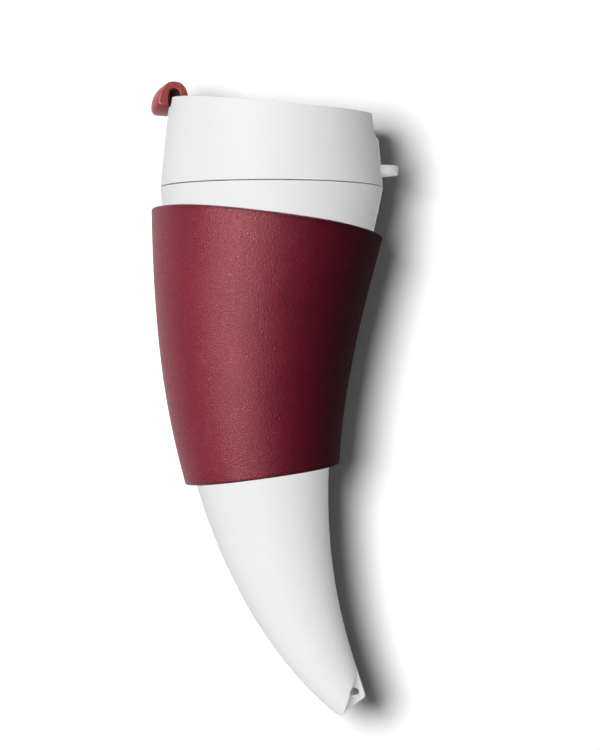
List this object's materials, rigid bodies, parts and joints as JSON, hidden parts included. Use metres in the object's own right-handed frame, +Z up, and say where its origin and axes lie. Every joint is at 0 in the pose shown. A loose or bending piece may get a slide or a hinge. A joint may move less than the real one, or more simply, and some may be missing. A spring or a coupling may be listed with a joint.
{
  "type": "horn drinking cup",
  "caption": "Curved horn drinking cup with a screw lid, a flip stopper that hooks over the rim, and a slip-on leather sleeve.",
  "frame": {"origin": "centre of the cup's mouth, in the plane of the shoulder that the lid closes on", "axes": "+Z up the lid's screw axis, +X towards the side that the tip curves to, +Y along the tip's strap hole"},
  "size_m": [0.089, 0.0841, 0.2269],
  "materials": {
    "horn_white": "white moulded plastic with a fine matte grain",
    "lid_white": "white moulded plastic with a fine matte grain",
    "seal_silicone": "pale grey silicone",
    "stopper_red": "satin dark red soft-touch plastic",
    "plug_silicone": "dark red silicone",
    "pin_steel": "drawn steel pin",
    "wine_leather": "wine-red grained leather with a soft sheen",
    "lining_felt": "dark felt lining",
    "wine_thread": "waxed wine-red thread"
  },
  "bodies": {
    "cup": {"horn_cup": "horn_white"},
    "gasket": {"lid_gasket": "seal_silicone"},
    "lid": {"lid_cover": "lid_white", "lid_collar": "lid_white", "hinge_pin": "pin_steel"},
    "stopper": {"flip_arm": "stopper_red", "drink_plug": "plug_silicone"},
    "sleeve": {"sleeve_leather": "wine_leather", "sleeve_lining": "lining_felt", "seam_thread": "wine_thread"}
  },
  "joints": [
    {"name": "lid_lift", "type": "slide", "parent": "cup", "child": "gasket", "axis": [0, 0, 1], "range_m": [0, 0.015]},
    {"name": "lid_turn", "type": "hinge", "parent": "gasket", "child": "lid", "pos_m": [0, 0, 0], "axis": [0, 0, 1], "range_deg": [0, 1080]},
    {"name": "stopper_flip", "type": "hinge", "parent": "lid", "child": "stopper", "pos_m": [-0.00009, 0, 0.0278], "axis": [0, 1, 0], "range_deg": [0, 180]},
    {"name": "sleeve_slip", "type": "hinge", "parent": "cup", "child": "sleeve", "pos_m": [0.35, 0, -0.06], "axis": [0, -1, 0], "range_deg": [0, 33]}
  ],
  "couplings": [
    {"joint": "lid_lift", "follows": "lid_turn", "m_per_rad": 0.00079577}
  ]
}
